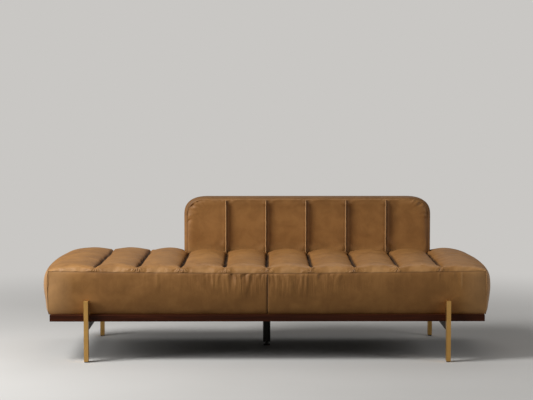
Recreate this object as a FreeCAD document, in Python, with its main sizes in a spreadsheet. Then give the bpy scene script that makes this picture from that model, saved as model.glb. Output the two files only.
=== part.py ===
import FreeCAD, Part
import os
import Sketcher
from types import SimpleNamespace

# Leather daybed: a seat box with front-to-back pillow channels and a low back set off to the right, on a
# walnut plinth that flat brass legs clasp at the front and the rear.
# Millimetres. +X is right seen from the front, +Y the rear, +Z up; the origin is on the floor under the
# middle of the plan.

SIZES = {
    # Plan: channels across the seat, the outer two's extra width, how many stand open left of the back, and
    # the plinth's depth.
    "pitch": 203,
    "end_extra": 14,
    "channel_count": 10,
    "open_left": 3,
    "back_count": 6,
    "box_depth": 780,
    # Walnut plinth.
    "rail_floor": 188,
    "rail_height": 32,
    "rail_width": 40,
    "rail_inset": 6,
    "rail_arris": 2,
    # Hardwood box and webbing inside the seat.
    "beam_thick": 25,
    "beam_height": 130,
    "cross_width": 60,
    "cross_drop": 20,
    "cross_clear": 41,
    "block_side": 70,
    "block_height": 70,
    "strap_width": 70,
    "strap_thick": 2,
    "strap_margin": 8,
    "core_height": 58,
    "cover_thick": 1.5,
    "cover_gap": 1,
    # Leather panels round the seat box.
    "panel_depth": 18,
    "leather_gap": 0.3,
    "front_tuck": 7,
    "front_top_set": 5,
    "bulge_height": 105,
    "end_tuck": 9,
    "end_bulge": 34,
    "end_top_set": 5,
    "end_set": 2,
    "corner_run": 50,
    "corner_bow": 8,
    # Pillow channels on the seat.
    "seat_set": 4,
    "seat_gap": 0.5,
    "edge_rise": 5,
    "groove_rise": 30,
    "crown_rise": 58,
    "roll_depth": 55,
    "roll_rise": 46,
    "roll_bow": 7,
    "stop_sag": 2,
    # Back.
    "back_depth": 128,
    "back_top": 730,
    "back_pad": 38,
    "back_groove": 26,
    "back_roll": 45,
    "back_core": 22,
    "band_thick": 19,
    "band_corner": 90,
    "band_clear": 14,
    "band_set": 14,
    "band_bevel": 6,
    "post_width": 60,
    "post_thick": 25,
    "post_foot": 10,
    "post_drop": 20,
    "slot_gap": 1,
    "ladder_height": 60,
    "ladder_margin": 40,
    "ladder_drop": 25,
    "ladder_lift": 4,
    # Legs, stretchers and glides.
    "leg_width": 20,
    "leg_depth": 40,
    "leg_height": 289,
    "leg_spread": 849,
    "leg_arris": 1,
    "stretcher_height": 44,
    "stretcher_thick": 14,
    "glide_height": 4,
    "glide_inset": 2,
    # Bolts and screws.
    "bolt_radius": 4,
    "bolt_hex_radius": 7.5,
    "bolt_head_height": 5,
    "bolt_grip": 20,
    "bolt_inset": 40,
    "bolt_gap": 0.2,
    "screw_radius": 2.5,
    "screw_hex_radius": 4.6,
    "screw_head_height": 3,
    "screw_length": 25,
    "screw_inset": 12,
    # Centre leg with its levelling foot.
    "centre_back": 100,
    "plate_width": 60,
    "plate_length": 90,
    "plate_thick": 4,
    "tube_radius": 18.5,
    "tube_wall": 2,
    "tube_floor": 18,
    "insert_height": 25,
    "insert_gap": 0.1,
    "stem_radius": 5,
    "stem_gap": 0.3,
    "stem_top": 70,
    "hex_radius": 9.5,
    "hex_height": 6,
    "pad_radius": 17,
    "pad_height": 6,
    "pin_radius": 4,
    "pin_depth": 4,
}


class Size:
    """A size with its formula in the sheet, so that sums of sizes stay formulas."""

    def __init__(self, value, formula):
        self.value = value
        self.formula = formula

    def __add__(self, other):
        other = as_size(other)
        return Size(self.value + other.value, f"({self.formula} + {other.formula})")

    def __sub__(self, other):
        other = as_size(other)
        return Size(self.value - other.value, f"({self.formula} - {other.formula})")

    def __mul__(self, other):
        other = as_size(other)
        return Size(self.value * other.value, f"({self.formula} * {other.formula})")

    def __truediv__(self, other):
        other = as_size(other)
        return Size(self.value / other.value, f"({self.formula} / {other.formula})")

    def __neg__(self):
        return self * -1

    def __radd__(self, other):
        return self + other

    def __rsub__(self, other):
        return -self + other

    def __rmul__(self, other):
        return self * other


def as_size(number):
    return number if isinstance(number, Size) else Size(number, f"({number})")


doc = FreeCAD.newDocument("daybed")
sheet = doc.addObject("Spreadsheet::Sheet", "Sizes")
for row, (name, number) in enumerate(SIZES.items(), start=1):
    sheet.set(f"A{row}", name)
    sheet.set(f"B{row}", str(number))
    sheet.setAlias(f"B{row}", name)
doc.recompute()
size = SimpleNamespace(**{name: Size(number, f"Sizes.{name}") for name, number in SIZES.items()})

nodes = []
ZERO = as_size(0)
SIDES = {"left": -1, "right": 1}
FACES = {"front": -1, "rear": 1}

# Levels and planes that several pieces share.
grid_half = size.pitch * size.channel_count / 2
half_length = grid_half + size.end_extra
half_depth = size.box_depth / 2
rail_half = half_length - size.rail_inset
rail_top = size.rail_floor + size.rail_height
frame_half = half_depth - size.panel_depth
beam_inner = frame_half - size.beam_thick
beam_top = rail_top + size.beam_height
core_floor = beam_top + size.strap_thick
seat_base = core_floor + size.core_height
panel_height = seat_base - rail_top
seat_front = size.seat_set - half_depth
back_left = size.pitch * size.open_left - grid_half
back_width = size.pitch * size.back_count
back_right = back_left + back_width
back_front = half_depth - size.back_depth
back_face = back_front + size.back_pad
back_post_front = back_face + size.back_core
back_rail_front = back_post_front + size.post_thick
core_top = size.back_top - size.band_thick
core_corner = size.band_corner - size.band_thick
bolt_level = size.rail_floor + size.rail_height / 2


def bind(thing, **formulas):
    for name, length in formulas.items():
        thing.setExpression(name, as_size(length).formula)


def place(thing, corner):
    for axis, distance in zip("xyz", corner):
        thing.setExpression(f"Placement.Base.{axis}", as_size(distance).formula)


def keep(thing):
    """Hand a finished piece on as a node under its own label."""
    nodes.append(thing)
    return thing


def block(label, low, high):
    """A rectangular block between two corners."""
    solid = doc.addObject("Part::Box", label)
    bind(solid, Length=high[0] - low[0], Width=high[1] - low[1], Height=high[2] - low[2])
    place(solid, low)
    return solid


UPWARD = FreeCAD.Rotation()
REARWARD = FreeCAD.Rotation(FreeCAD.Vector(1, 0, 0), -90)
FRONTWARD = FreeCAD.Rotation(FreeCAD.Vector(1, 0, 0), 90)


def rod(label, radius, length, start, turn=UPWARD):
    """A round bar that runs up, to the rear or to the front from its start."""
    bar = doc.addObject("Part::Cylinder", label)
    bind(bar, Radius=radius, Height=length)
    bar.Placement = FreeCAD.Placement(FreeCAD.Vector(), turn)
    place(bar, start)
    return bar


def hexagon(label, radius, length, start, turn=UPWARD):
    """A six-sided bar, its radius measured to the corners."""
    bar = doc.addObject("Part::Prism", label)
    bar.Polygon = 6
    bind(bar, Circumradius=radius, Height=length)
    bar.Placement = FreeCAD.Placement(FreeCAD.Vector(), turn)
    place(bar, start)
    return bar


def group(label, members):
    gathered = doc.addObject("Part::Compound", label)
    gathered.Links = members
    return gathered


def joined(label, members):
    whole = doc.addObject("Part::MultiFuse", label)
    whole.Shapes = members
    return whole


def drilled(label, blank, bores):
    """A blank with its holes or slots cut away."""
    result = doc.addObject("Part::Cut", label)
    result.Base = blank
    result.Tool = group(f"{label}_bores", bores)
    return result


def new_body(label, corner=(ZERO, ZERO, ZERO)):
    body = doc.addObject("PartDesign::Body", label)
    place(body, corner)
    return body


def outline(body, plane, *loops):
    """A sketch on one of the body's own planes. Each loop is a list of corners (u, v); a corner with two
    more sizes ends an arc that passes through that second point."""
    sketch = body.newObject("Sketcher::SketchObject", f"{body.Name}_{plane[:2]}")
    support = [feature for feature in body.Origin.OriginFeatures if feature.Role == plane]
    sketch.AttachmentSupport = [(support[0], "")]
    sketch.MapMode = "FlatFace"
    for corners in loops:
        draw_loop(sketch, [tuple(as_size(number) for number in corner) for corner in corners])
    return sketch


def draw_loop(sketch, corners):
    starts = []
    ends = []
    for here, ahead in zip(corners, corners[1:] + corners[:1]):
        first = FreeCAD.Vector(here[0].value, here[1].value)
        last = FreeCAD.Vector(ahead[0].value, ahead[1].value)
        if len(ahead) == 2:
            edge = sketch.addGeometry(Part.LineSegment(first, last))
            starts.append((edge, 1))
            ends.append((edge, 2))
            continue
        middle = FreeCAD.Vector(ahead[2].value, ahead[3].value)
        climbs = (middle - first).cross(last - middle).z > 0
        turned = (first, middle, last) if climbs else (last, middle, first)
        edge = sketch.addGeometry(Part.Arc(*turned))
        starts.append((edge, 1 if climbs else 2))
        ends.append((edge, 2 if climbs else 1))
        pin = sketch.addGeometry(Part.Point(middle), True)
        fix_point(sketch, (pin, 1), ahead[2], ahead[3])
        sketch.addConstraint(Sketcher.Constraint("PointOnObject", pin, 1, edge))
    for index, corner in enumerate(corners):
        fix_point(sketch, starts[index], corner[0], corner[1])
        sketch.addConstraint(Sketcher.Constraint("Coincident", *ends[index - 1], *starts[index]))


def fix_point(sketch, point, across, along):
    """Hold a sketch point at two sizes from the sketch's origin."""
    for kind, distance in (("DistanceX", across), ("DistanceY", along)):
        index = sketch.addConstraint(Sketcher.Constraint(kind, -1, 1, *point, distance.value))
        sketch.setExpression(f"Constraints[{index}]", distance.formula)


def pad(body, sketch, length, backwards=False):
    feature = body.newObject("PartDesign::Pad", f"{sketch.Name}_pad")
    feature.Profile = sketch
    feature.Reversed = backwards
    bind(feature, Length=length)
    doc.recompute()
    return feature


def trim(body, sketch):
    """Cut the sketch's shape away right through the body, and make sure that it bites."""
    before = body.Shape.Volume
    feature = body.newObject("PartDesign::Pocket", f"{sketch.Name}_trim")
    feature.Profile = sketch
    feature.Type = "ThroughAll"
    feature.SideType = "Symmetric"
    doc.recompute()
    if body.Shape.Volume >= before:
        raise RuntimeError(f"{body.Label}: a cut takes nothing away")
    return feature


def dress(body, kind, amount, chosen):
    """Round or bevel the edges of the body's last feature that pass the test."""
    tip = body.Tip
    names = [f"Edge{number}" for number, edge in enumerate(tip.Shape.Edges, start=1) if chosen(edge)]
    feature = body.newObject(f"PartDesign::{kind}", f"{body.Name}_{kind}")
    feature.Base = (tip, names)
    bind(feature, **{"Radius" if kind == "Fillet" else "Size": amount})
    doc.recompute()
    return feature


# How far an edge may stray from a level and still count as lying there.
TOUCH = 0.01


def edge_lies(axis, *levels):
    """A test for edges that lie wholly at one of the given levels along an axis."""

    def test(edge):
        low = getattr(edge.BoundBox, f"{axis}Min")
        high = getattr(edge.BoundBox, f"{axis}Max")
        return any(abs(low - level) < TOUCH and abs(high - level) < TOUCH for level in levels)

    return test


def long_edges(axis, length):
    """A test for the long edges on the outer face of a rail, which lies at the body's own zero."""
    on_face = edge_lies(axis, 0)
    return lambda edge: on_face(edge) and edge.Length > length.value


def plinth_rails():
    """Four walnut rails, mitred at the corners, with softened outer edges. The long rails are bored for
    the leg bolts."""
    for face, turn in FACES.items():
        body = new_body(f"rail_{face}_blank", (ZERO, half_depth * turn, size.rail_floor))
        inner = size.rail_width * -turn
        short = rail_half - size.rail_width
        corners = [(-rail_half, ZERO), (rail_half, ZERO), (short, inner), (-short, inner)]
        pad(body, outline(body, "XY_Plane", corners), size.rail_height)
        dress(body, "Fillet", size.rail_arris, long_edges("Y", rail_half))
        bores = [leg_bolt_hole(f"rail_{face}_bore_{side}", face, side) for side in SIDES]
        keep(drilled(f"rail_{face}", body, bores))
    for side, turn in SIDES.items():
        body = new_body(f"rail_end_{side}", (rail_half * turn, ZERO, size.rail_floor))
        inner = size.rail_width * -turn
        short = half_depth - size.rail_width
        corners = [(ZERO, -half_depth), (ZERO, half_depth), (inner, short), (inner, -short)]
        pad(body, outline(body, "XY_Plane", corners), size.rail_height)
        dress(body, "Fillet", size.rail_arris, long_edges("X", half_depth))
        keep(body)


def leg_bolt_start(face, side):
    """Where a leg bolt's head seats, on the inner face of a long rail."""
    inner = (half_depth - size.rail_width) * FACES[face]
    return (size.leg_spread * SIDES[side], inner, bolt_level)


def outward(face):
    return FRONTWARD if face == "front" else REARWARD


def inward(face):
    return REARWARD if face == "front" else FRONTWARD


def leg_bolt_hole(label, face, side):
    depth = size.rail_width + size.bolt_grip
    return rod(label, size.bolt_radius + size.bolt_gap, depth, leg_bolt_start(face, side), outward(face))


def bolt(label, start, shank, turn, back_turn):
    """A hexagon bolt: the shank runs from its seat, the head stands behind the seat."""
    head = hexagon(f"{label}_head", size.bolt_hex_radius, size.bolt_head_height, start, back_turn)
    return joined(label, [head, rod(f"{label}_shank", size.bolt_radius, shank, start, turn)])


def hardwood_box():
    """Beams on edge round the seat, cross beams between them that stand clear of the back's posts, and
    glued corner blocks."""
    for face, turn in FACES.items():
        outer = frame_half * turn
        inner = beam_inner * turn
        low, high = (outer, inner) if turn < 0 else (inner, outer)
        ends = ((-half_length, low, rail_top), (half_length, high, beam_top))
        if face == "rear":
            keep(drilled("frame_beam_rear", block("frame_beam_rear_blank", *ends), post_bores("beam")))
        else:
            keep(block("frame_beam_front", *ends))
    for side, turn in SIDES.items():
        outer = half_length * turn
        inner = (half_length - size.beam_thick) * turn
        low, high = (outer, inner) if turn < 0 else (inner, outer)
        keep(block(f"frame_beam_{side}", (low, -beam_inner, rail_top), (high, beam_inner, beam_top)))
    crosses = []
    spread = post_middles()[-1] + size.post_width / 2 + size.cross_clear + size.cross_width / 2
    for name, middle in (("left", -spread), ("right", spread), ("middle", ZERO)):
        low = (middle - size.cross_width / 2, -beam_inner, rail_top)
        high = (middle + size.cross_width / 2, beam_inner, beam_top - size.cross_drop)
        crosses.append(block(f"cross_{name}", low, high))
    crosses[-1] = drilled("cross_middle_bored", crosses[-1], plate_screw_holes("cross"))
    keep(group("frame_cross_beams", crosses))
    blocks = []
    for side, across in SIDES.items():
        for face, along in FACES.items():
            corner = ((half_length - size.beam_thick) * across, beam_inner * along, rail_top)
            body = new_body(f"corner_block_{face}_{side}", corner)
            reach = [(ZERO, ZERO), (size.block_side * -across, ZERO), (ZERO, size.block_side * -along)]
            pad(body, outline(body, "XY_Plane", reach), size.block_height)
            blocks.append(body)
    keep(group("corner_blocks", blocks))


def webbing():
    """Elastic straps from the front beam to the rear one, one under the middle of each channel."""
    reach = frame_half - size.strap_margin
    straps = []
    for index in range(SIZES["channel_count"]):
        middle = size.pitch * (index + 0.5) - grid_half
        low = (middle - size.strap_width / 2, -reach, beam_top)
        high = (middle + size.strap_width / 2, reach, core_floor)
        straps.append(block(f"strap_{index + 1}", low, high))
    keep(group("webbing_straps", straps))


def dust_cover():
    """Black cloth stapled under the hardwood box, cut out round the centre leg's plate."""
    across = rail_half - size.rail_width - size.cover_gap
    along = half_depth - size.rail_width - size.cover_gap
    floor = rail_top - size.cover_thick
    sheet_of_cloth = block("dust_cover_blank", (-across, -along, floor), (across, along, rail_top))
    half_width = size.plate_width / 2 + size.cover_gap
    half_run = size.plate_length / 2 + size.cover_gap
    low = (-half_width, size.centre_back - half_run, floor)
    high = (half_width, size.centre_back + half_run, rail_top)
    keep(drilled("dust_cover", sheet_of_cloth, [block("dust_cover_window", low, high)]))


def post_middles():
    """The back's posts stand on every second groove of the back."""
    return [back_left + size.pitch * groove for groove in range(1, SIZES["back_count"], 2)]


def seat_core():
    """The foam slab of the seat, slotted for the back's posts."""
    low = (-half_length, -frame_half, core_floor)
    slab = block("seat_core_blank", low, (half_length, frame_half, seat_base))
    slots = []
    for number, middle in enumerate(post_middles(), start=1):
        reach = size.post_width / 2 + size.slot_gap
        low = (middle - reach, back_post_front - size.slot_gap, core_floor)
        high = (middle + reach, back_rail_front + size.slot_gap, seat_base)
        slots.append(block(f"seat_core_slot_{number}", low, high))
    keep(drilled("seat_core_foam", slab, slots))


def seat_channels():
    """Pillow channels: an arched section run from front to rear, rolled over at the open ends. Channels
    in front of the back stop at its face; the outer two slope down to the end seams."""
    last = SIZES["channel_count"]
    behind = range(SIZES["open_left"] + 1, SIZES["open_left"] + SIZES["back_count"] + 1)
    for number in range(1, last + 1):
        left_rise = size.edge_rise if number == 1 else size.groove_rise
        right_rise = size.edge_rise if number == last else size.groove_rise
        stopped = number in behind
        length = (back_front - size.seat_gap if stopped else -seat_front) - seat_front
        left = -half_length if number == 1 else size.pitch * (number - 1) - grid_half
        width = size.pitch + size.end_extra if number in (1, last) else size.pitch
        body = new_body(f"seat_channel_{number}", (left, seat_front, seat_base))
        arch = (width, right_rise, width / 2, size.crown_rise)
        section = [(ZERO, ZERO), (ZERO, left_rise), arch, (width, ZERO)]
        pad(body, outline(body, "XZ_Plane", section), length, backwards=True)
        trim(body, outline(body, "YZ_Plane", above_channel(length, stopped)))
        keep(body)


def above_channel(length, stopped):
    """What is cut off above a channel, seen from the side: a roll at each open end and a slight crown."""
    lift = size.crown_rise + size.roll_depth
    bow_across = size.roll_depth / 2 - size.roll_bow
    bow_up = (size.edge_rise + size.roll_rise) / 2 + size.roll_bow
    corners = [(ZERO, size.edge_rise), (size.roll_depth, size.roll_rise, bow_across, bow_up)]
    if stopped:
        corners.append((length, size.crown_rise, length / 2, size.crown_rise - size.stop_sag))
    else:
        corners.append((length - size.roll_depth, size.roll_rise, length / 2, size.crown_rise))
        corners.append((length, size.edge_rise, length - bow_across, bow_up))
    return corners + [(length, lift), (ZERO, lift)]


def seat_panels():
    """Padded leather round the box: two front panels that meet at the middle, one at the rear, and two
    full end panels that swell out past the corner seams."""
    level = size.bulge_height
    for side, start in (("left", -half_length), ("right", ZERO)):
        body = new_body(f"front_panel_{side}", (start, -half_depth, rail_top))
        pad(body, outline(body, "YZ_Plane", swollen(size.panel_depth, 1)), half_length)
        keep(body)
    body = new_body("rear_panel", (-half_length, half_depth, rail_top))
    pad(body, outline(body, "YZ_Plane", swollen(size.panel_depth, -1)), half_length * 2)
    keep(body)
    for side, turn in SIDES.items():
        length = size.box_depth - size.end_set * 2
        body = new_body(f"end_panel_{side}", (half_length * turn, size.end_set - half_depth, rail_top))
        swell = (size.end_top_set * turn, panel_height, size.end_bulge * turn, level)
        section = [(ZERO, ZERO), (size.end_tuck * turn, ZERO), swell, (ZERO, panel_height)]
        pad(body, outline(body, "XZ_Plane", section), length, backwards=True)
        trim(body, outline(body, "XY_Plane", *outside_corners(length, turn)))
        keep(body)


def swollen(depth, turn):
    """Section of a front or rear panel, tucked in at the bottom and fullest below the middle."""
    full = (size.front_top_set * turn, panel_height, size.leather_gap * turn, size.bulge_height)
    return [(depth * turn, ZERO), (size.front_tuck * turn, ZERO), full, (depth * turn, panel_height)]


def outside_corners(length, turn):
    """What an end panel loses in plan at its front and rear, so that it rounds into the corner seams."""
    full = size.end_bulge + size.corner_bow
    bow_across = (size.end_bulge / 2 + size.corner_bow) * turn
    bow_along = size.corner_run / 2 - size.corner_bow
    front = [
        (ZERO, ZERO),
        (full * turn, size.corner_run, bow_across, bow_along),
        (full * turn, -size.corner_run),
        (ZERO, -size.corner_run),
    ]
    rear = [
        (ZERO, length),
        (full * turn, length - size.corner_run, bow_across, length - bow_along),
        (full * turn, length + size.corner_run),
        (ZERO, length + size.corner_run),
    ]
    return front, rear


# Across and along, the middle of a quarter arc lies this share of its radius from the arc's centre.
ARC_MIDDLE = 0.5**0.5


def arch_outline(inset, floor):
    """The back's outline, rounded at its two upper corners, a given distance inside the band's edge."""
    left = inset - size.band_thick
    right = back_width - left
    top = size.back_top - inset
    radius = size.band_corner - inset
    dip = radius * (1 - ARC_MIDDLE)
    return [
        (left, floor),
        (left, top - radius),
        (left + radius, top, left + dip, top - dip),
        (right - radius, top),
        (right, top - radius, right - dip, top - dip),
        (right, floor),
    ]


def back_channels():
    """Upright channels of the back: an arched section run up, rolled over at the top, and rounded at the
    two outer corners."""
    height = core_top - seat_base
    last = SIZES["back_count"]
    for number in range(1, last + 1):
        corner = (back_left + size.pitch * (number - 1), back_face, seat_base)
        body = new_body(f"back_channel_{number}", corner)
        arch = (size.pitch, -size.back_groove, size.pitch / 2, -size.back_pad)
        section = [(ZERO, ZERO), (ZERO, -size.back_groove), arch, (size.pitch, ZERO)]
        pad(body, outline(body, "XY_Plane", section), height)
        depth = size.back_pad
        lift = height + size.back_roll
        roll = (ZERO, height, -depth * ARC_MIDDLE, height - size.back_roll * (1 - ARC_MIDDLE))
        above = [(-depth, height - size.back_roll), roll, (ZERO, lift), (-depth * 2, lift)]
        above.append((-depth * 2, height - size.back_roll))
        trim(body, outline(body, "YZ_Plane", above))
        if number in (1, last):
            trim(body, outline(body, "XZ_Plane", beyond_corner(height, number == 1)))
        keep(body)


def beyond_corner(height, at_left):
    """What a rounded upper corner takes off the outer channels of the back."""
    side = ZERO if at_left else size.pitch
    turn = 1 if at_left else -1
    radius = core_corner
    dip = radius * (1 - ARC_MIDDLE)
    arc = (side + radius * turn, height, side + dip * turn, height - dip)
    out = side - radius * turn
    lift = height + radius
    return [(side, height - radius), arc, (side + radius * turn, lift), (out, lift), (out, height - radius)]


def back_shell():
    """The back's foam, its leather rear panel, and the padded band that runs up one side, over the top and
    down the other."""
    inside = arch_outline(size.band_thick, seat_base)
    rear_face = back_rail_front + size.beam_thick
    rear_depth = half_depth - size.leather_gap - rear_face
    layers = (("back_core_foam", back_face, size.back_core), ("back_rear_panel", rear_face, rear_depth))
    for label, front, depth in layers:
        body = new_body(label, (back_left, front, ZERO))
        pad(body, outline(body, "XZ_Plane", inside), depth, backwards=True)
        keep(body)
    start = back_front + size.band_set
    length = half_depth - size.leather_gap - start
    body = new_body("back_band", (back_left, start, ZERO))
    floor = seat_base + size.groove_rise + size.band_clear
    outer = arch_outline(ZERO, floor)
    pad(body, outline(body, "XZ_Plane", outer), length, backwards=True)
    trim(body, outline(body, "XZ_Plane", arch_outline(size.band_thick, seat_base)))
    dress(body, "Chamfer", size.band_bevel, on_band_rim(length, floor))
    keep(body)


def on_band_rim(length, floor):
    """A test for the outer edges of the band, at its front and rear, leaving out its two feet."""

    def test(edge):
        box = edge.BoundBox
        across = box.XMin + TOUCH < 0 and box.XMax < 0 or box.XMin > back_width.value
        over = box.ZMax > core_top.value + TOUCH
        at_rim = edge_lies("Y", 0, length.value)(edge)
        return at_rim and (across or over) and box.ZMax > floor.value + TOUCH

    return test


def post_bolt_starts():
    """Bolt seats on the front faces of the posts: two to a post, over the height of the rear beam."""
    levels = (rail_top + size.bolt_inset, beam_top - size.bolt_inset)
    return [(middle, back_post_front, level) for middle in post_middles() for level in levels]


def post_bores(name):
    depth = size.post_thick + size.bolt_grip
    starts = enumerate(post_bolt_starts(), start=1)
    radius = size.bolt_radius + size.bolt_gap
    return [rod(f"{name}_post_bore_{number}", radius, depth, start, REARWARD) for number, start in starts]


def back_frame():
    """Hardwood posts bolted to the rear beam of the seat, with two rails across them."""
    posts = []
    for number, middle in enumerate(post_middles(), start=1):
        low = (middle - size.post_width / 2, back_post_front, rail_top + size.post_foot)
        high = (middle + size.post_width / 2, back_rail_front, core_top - size.post_drop)
        posts.append(block(f"post_{number}", low, high))
    keep(drilled("back_posts", group("back_posts_blank", posts), post_bores("posts")))
    shank = size.post_thick + size.bolt_grip
    starts = enumerate(post_bolt_starts(), start=1)
    keep(group("post_bolts", [bolt(f"post_bolt_{n}", at, shank, REARWARD, FRONTWARD) for n, at in starts]))
    left = back_left + size.ladder_margin
    right = back_right - size.ladder_margin
    rear = back_rail_front + size.beam_thick
    upper = core_top - size.ladder_drop
    lower = seat_base + size.ladder_lift + size.ladder_height
    for label, top in (("back_top_rail", upper), ("back_bottom_rail", lower)):
        keep(block(label, (left, back_rail_front, top - size.ladder_height), (right, rear, top)))


def legs():
    """Flat brass bars that stand against the long rails, with a steel stretcher welded between the two on
    each side, right under the plinth. A hidden bolt holds each leg to its rail."""
    bolts = []
    glides = []
    shank = size.rail_width + size.bolt_grip
    for side, across in SIDES.items():
        middle = size.leg_spread * across
        for face, along in FACES.items():
            name = f"{face}_{side}"
            foot = (middle, (half_depth + size.leg_depth / 2) * along, size.glide_height)
            bore = leg_bolt_hole(f"bore_{name}", face, side)
            keep(drilled(f"leg_{name}", leg_bar(f"leg_{name}_blank", foot), [bore]))
            start = leg_bolt_start(face, side)
            bolts.append(bolt(f"leg_bolt_{name}", start, shank, outward(face), inward(face)))
            glides.append(glide(f"glide_{name}", foot))
        low = (middle - size.stretcher_thick / 2, -half_depth, size.rail_floor - size.stretcher_height)
        high = (middle + size.stretcher_thick / 2, half_depth, size.rail_floor)
        keep(block(f"stretcher_{side}", low, high))
    keep(group("leg_bolts", bolts))
    keep(group("leg_glides", glides))


def leg_bar(label, foot):
    body = new_body(label, foot)
    across = size.leg_width / 2
    along = size.leg_depth / 2
    corners = [(-across, -along), (across, -along), (across, along), (-across, along)]
    height = size.leg_height - size.glide_height
    pad(body, outline(body, "XY_Plane", corners), height)
    dress(body, "Chamfer", size.leg_arris, edge_lies("Z", 0, height.value))
    return body


def glide(label, foot):
    """A flat nylon pad under a leg, a little smaller than its end."""
    across = size.leg_width / 2 - size.glide_inset
    along = size.leg_depth / 2 - size.glide_inset
    low = (foot[0] - across, foot[1] - along, ZERO)
    return block(label, low, (foot[0] + across, foot[1] + along, size.glide_height))


def plate_screw_spots(level):
    across = size.plate_width / 2 - size.screw_inset
    along = size.plate_length / 2 - size.screw_inset
    return [(across * i, size.centre_back + along * j, level) for i in (-1, 1) for j in (-1, 1)]


def plate_screw_holes(name):
    spots = enumerate(plate_screw_spots(rail_top - size.plate_thick), start=1)
    radius = size.screw_radius + size.bolt_gap
    return [rod(f"{name}_screw_hole_{number}", radius, size.screw_length, spot) for number, spot in spots]


def centre_leg():
    """A round black leg under the middle: a screwed plate, a tube, a threaded insert in its lower end, and
    a levelling foot whose stem turns in its pad."""
    plate_floor = rail_top - size.plate_thick
    half_width = size.plate_width / 2
    half_run = size.plate_length / 2
    low = (-half_width, size.centre_back - half_run, plate_floor)
    high = (half_width, size.centre_back + half_run, rail_top)
    keep(drilled("centre_leg_plate", block("plate_blank", low, high), plate_screw_holes("plate")))
    screws = []
    for number, spot in enumerate(plate_screw_spots(plate_floor), start=1):
        under = (spot[0], spot[1], plate_floor - size.screw_head_height)
        name = f"plate_screw_{number}"
        head = hexagon(f"{name}_head", size.screw_hex_radius, size.screw_head_height, under)
        screws.append(joined(name, [head, rod(f"{name}_shank", size.screw_radius, size.screw_length, spot)]))
    keep(group("plate_screws", screws))
    foot = (ZERO, size.centre_back, size.tube_floor)
    length = plate_floor - size.tube_floor
    inside = size.tube_radius - size.tube_wall
    tube = rod("tube_blank", size.tube_radius, length, foot)
    keep(drilled("centre_leg_tube", tube, [rod("tube_bore", inside, length, foot)]))
    plug = rod("insert_blank", inside - size.insert_gap, size.insert_height, foot)
    thread = rod("insert_bore", size.stem_radius + size.stem_gap, size.insert_height, foot)
    keep(drilled("centre_leg_insert", plug, [thread]))
    keep(leveller_stem())
    keep(leveller_pad())


def leveller_stem():
    """A pin that turns in the pad, a hexagon for the spanner and the threaded stem above it."""
    hex_floor = size.pad_height + size.stem_gap
    pin_floor = hex_floor - size.pin_depth
    stem_floor = hex_floor + size.hex_height
    pin = rod("stem_pin", size.pin_radius, size.pin_depth, (ZERO, size.centre_back, pin_floor))
    nut = hexagon("stem_hex", size.hex_radius, size.hex_height, (ZERO, size.centre_back, hex_floor))
    stem_start = (ZERO, size.centre_back, stem_floor)
    stem = rod("stem_rod", size.stem_radius, size.stem_top - stem_floor, stem_start)
    return joined("leveller_stem", [pin, nut, stem])


def leveller_pad():
    """A round foot with a socket for the stem's pin."""
    disc = rod("pad_blank", size.pad_radius, size.pad_height, (ZERO, size.centre_back, ZERO))
    floor = size.pad_height - size.pin_depth
    start = (ZERO, size.centre_back, floor)
    socket = rod("pad_socket", size.pin_radius + size.stem_gap, size.pin_depth, start)
    return drilled("leveller_pad", disc, [socket])


plinth_rails()
hardwood_box()
webbing()
dust_cover()
seat_core()
seat_channels()
seat_panels()
back_frame()
back_channels()
back_shell()
legs()
centre_leg()
doc.recompute()

for thing in doc.Objects:
    if "Invalid" in thing.State or "Error" in thing.State:
        raise RuntimeError(f"{thing.Label} did not build: {thing.State}")
for node in nodes:
    if node.Shape.isNull() or not node.Shape.isValid():
        raise RuntimeError(f"{node.Label} has no sound shape")

os.makedirs("parts", exist_ok=True)
for node in nodes:
    node.Shape.exportStep(f"parts/{node.Label}.step")
    print(node.Label, len(node.Shape.Solids), round(node.Shape.Volume))
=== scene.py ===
# %% [markdown]
# # A channelled leather daybed
# The daybed is a long leather seat box with front-to-back pillow channels, and a low back that stands off
# to the right. It rests on a walnut plinth, flat brass legs and one round leg in the middle. The hard
# parts come in as the finished frame, in metres. This lesson dresses them: it lights them, gives every
# part its finish, and makes the leather covers that the frame only holds plain solids for.

# %% Load the frame
import math

import bpy
import numpy as np
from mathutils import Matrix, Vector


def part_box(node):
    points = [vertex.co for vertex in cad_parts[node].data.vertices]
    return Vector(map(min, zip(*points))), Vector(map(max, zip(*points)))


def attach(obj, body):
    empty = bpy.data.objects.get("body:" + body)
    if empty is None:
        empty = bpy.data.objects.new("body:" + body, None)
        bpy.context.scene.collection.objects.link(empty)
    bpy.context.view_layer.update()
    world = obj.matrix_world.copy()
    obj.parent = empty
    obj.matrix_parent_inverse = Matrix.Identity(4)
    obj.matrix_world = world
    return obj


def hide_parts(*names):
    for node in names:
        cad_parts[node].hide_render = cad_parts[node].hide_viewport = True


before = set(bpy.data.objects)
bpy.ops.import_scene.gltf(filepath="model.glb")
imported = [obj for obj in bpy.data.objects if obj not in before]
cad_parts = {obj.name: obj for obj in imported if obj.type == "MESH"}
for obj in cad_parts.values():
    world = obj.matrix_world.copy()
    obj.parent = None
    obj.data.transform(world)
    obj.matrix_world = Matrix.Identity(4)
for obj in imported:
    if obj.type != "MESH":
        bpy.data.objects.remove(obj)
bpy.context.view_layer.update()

# %% [markdown]
# ## The camera
# The photograph looks at the daybed from straight in front, from far off and from standing height, so
# lines that run to the rear close up only a little. A long lens far away gives that flat look; a nearer,
# wider lens would spread the legs. The camera is tipped down by a few degrees instead of being shifted,
# so that it can orbit.

# %% Camera
PICTURE_WIDTH = 533
SENSOR = 36.0
EYE = (-0.06, -8.05, 1.29)
TIP_DEGREES, TURN_DEGREES = 3.955, 0.416
FOCAL_PIXELS = 1642.0

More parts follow.
